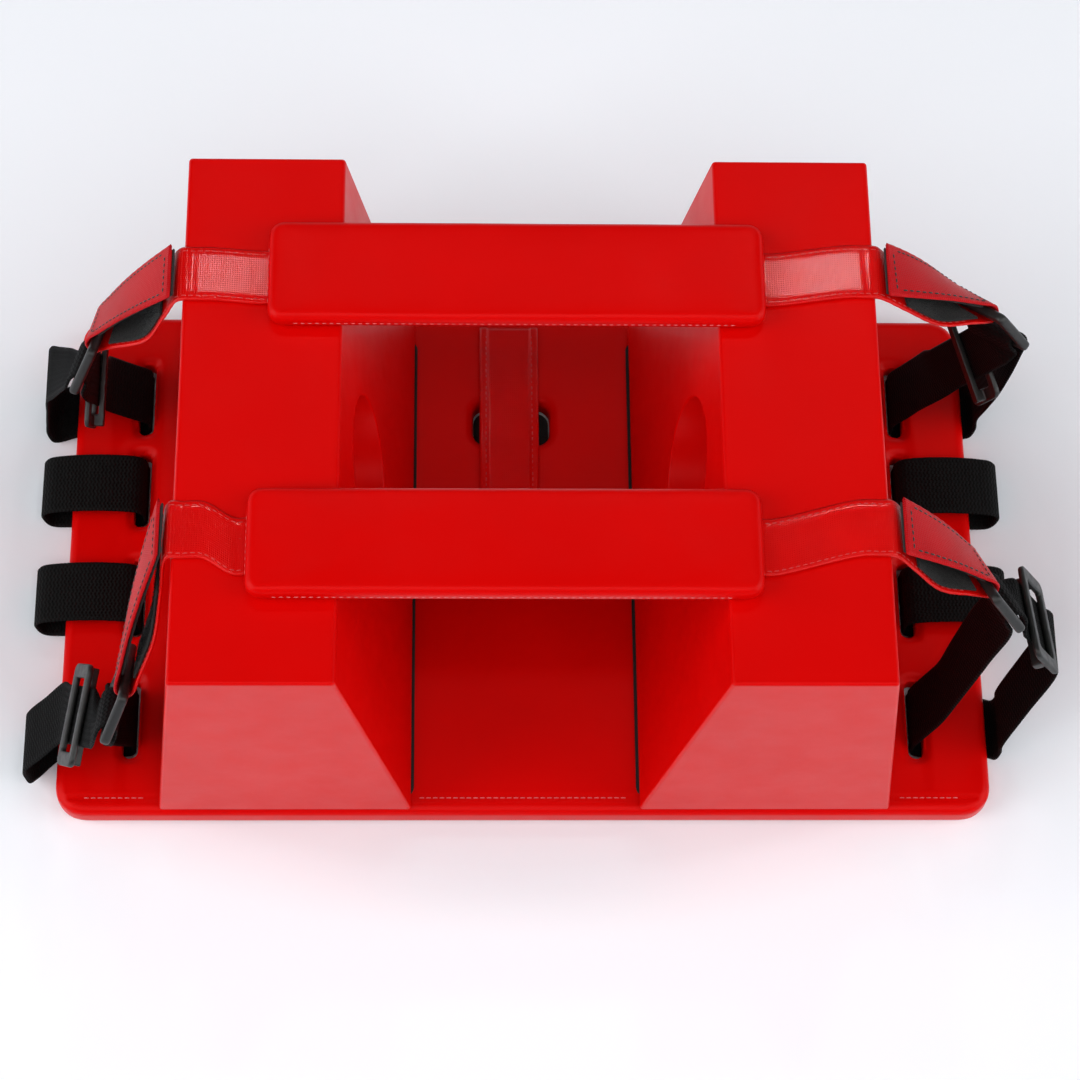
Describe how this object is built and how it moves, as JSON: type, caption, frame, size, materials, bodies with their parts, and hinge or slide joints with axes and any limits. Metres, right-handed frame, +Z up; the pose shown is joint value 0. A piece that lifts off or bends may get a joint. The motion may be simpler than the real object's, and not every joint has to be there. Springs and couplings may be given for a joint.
{
  "type": "head immobiliser",
  "caption": "Foam base plate with two foam head blocks, two padded head straps, and plastic rings and sliding adjusters on black webbing loops.",
  "frame": {"origin": "centre of the flat underside of the base plate", "axes": "+X across the head, along the base plate's longer side; +Y away from the near end of the base plate; +Z up out of the base plate towards the straps"},
  "size_m": [0.4388, 0.2461, 0.1718],
  "materials": {
    "red_coated_foam": "smooth glossy vinyl coating over closed-cell foam",
    "red_coated_strap": "red coated woven strap, fine weave, slight gloss",
    "black_webbing": "black ribbed polypropylene webbing",
    "loop_pile": "black soft loop pile",
    "hook_tape": "black hook tape, fine stubble",
    "dark_plastic": "dark grey moulded acetal, satin"
  },
  "bodies": {
    "base": {"base_plate": "red_coated_foam", "centre_strip": "red_coated_strap", "hole_lining": "black_webbing", "left_block_loop_patch": "loop_pile", "left_near_side_webbing": "black_webbing", "left_far_side_webbing": "black_webbing", "right_block_loop_patch": "loop_pile", "right_near_side_webbing": "black_webbing", "right_far_side_webbing": "black_webbing", "forehead_pad": "red_coated_foam", "chin_pad": "red_coated_foam", "left_forehead_strap": "red_coated_strap", "left_forehead_strap_loop_patch": "loop_pile", "left_forehead_ring": "dark_plastic", "left_forehead_webbing": "black_webbing", "right_forehead_strap": "red_coated_strap", "right_forehead_strap_loop_patch": "loop_pile", "right_forehead_ring": "dark_plastic", "right_forehead_webbing": "black_webbing", "left_chin_strap": "red_coated_strap", "left_chin_strap_loop_patch": "loop_pile", "left_chin_ring": "dark_plastic", "left_chin_webbing": "black_webbing", "right_chin_strap": "red_coated_strap", "right_chin_strap_loop_patch": "loop_pile", "right_chin_ring": "dark_plastic", "right_chin_webbing": "black_webbing"},
    "left_block": {"left_head_block": "red_coated_foam", "left_block_hook_patch": "hook_tape"},
    "right_block": {"right_head_block": "red_coated_foam", "right_block_hook_patch": "hook_tape"},
    "left_forehead_tab": {"left_forehead_strap_tab": "red_coated_strap", "left_forehead_strap_tab_hook_patch": "hook_tape"},
    "left_forehead_slider": {"left_forehead_adjuster": "dark_plastic"},
    "right_forehead_tab": {"right_forehead_strap_tab": "red_coated_strap", "right_forehead_strap_tab_hook_patch": "hook_tape"},
    "right_forehead_slider": {"right_forehead_adjuster": "dark_plastic"},
    "left_chin_tab": {"left_chin_strap_tab": "red_coated_strap", "left_chin_strap_tab_hook_patch": "hook_tape"},
    "left_chin_slider": {"left_chin_adjuster": "dark_plastic"},
    "right_chin_tab": {"right_chin_strap_tab": "red_coated_strap", "right_chin_strap_tab_hook_patch": "hook_tape"},
    "right_chin_slider": {"right_chin_adjuster": "dark_plastic"}
  },
  "joints": [
    {"name": "left_block_slide", "type": "slide", "parent": "base", "child": "left_block", "axis": [1, 0, 0], "range_m": [0, 0.018]},
    {"name": "right_block_slide", "type": "slide", "parent": "base", "child": "right_block", "axis": [-1, 0, 0], "range_m": [0, 0.018]},
    {"name": "left_forehead_tab_peel", "type": "hinge", "parent": "base", "child": "left_forehead_tab", "pos_m": [-0.18328, 0.06066, 0.11843], "axis": [-0.1251, -0.89, 0.4384], "range_deg": [0, 100]},
    {"name": "left_forehead_adjuster_slide", "type": "slide", "parent": "base", "child": "left_forehead_slider", "axis": [0.0157, 0.4098, -0.9121], "range_m": [-0.002, 0.003]},
    {"name": "right_forehead_tab_peel", "type": "hinge", "parent": "base", "child": "right_forehead_tab", "pos_m": [0.18766, 0.06425, 0.13946], "axis": [-0.5567, 0.6634, -0.5], "range_deg": [0, 100]},
    {"name": "right_forehead_adjuster_slide", "type": "slide", "parent": "base", "child": "right_forehead_slider", "axis": [-0.2285, 0.2574, -0.9389], "range_m": [-0.002, 0.003]},
    {"name": "left_chin_tab_peel", "type": "hinge", "parent": "base", "child": "left_chin_tab", "pos_m": [-0.16573, -0.09633, 0.117], "axis": [0, -0.829, 0.5592], "range_deg": [0, 100]},
    {"name": "left_chin_adjuster_slide", "type": "slide", "parent": "base", "child": "left_chin_slider", "axis": [-0.3494, 0.3703, -0.8607], "range_m": [-0.002, 0.003]},
    {"name": "right_chin_tab_peel", "type": "hinge", "parent": "base", "child": "right_chin_tab", "pos_m": [0.18262, -0.05875, 0.13873], "axis": [-0.2777, 0.8548, -0.4384], "range_deg": [0, 100]},
    {"name": "right_chin_adjuster_slide", "type": "slide", "parent": "base", "child": "right_chin_slider", "axis": [0.5021, -0.0339, -0.8641], "range_m": [-0.002, 0.003]}
  ]
}
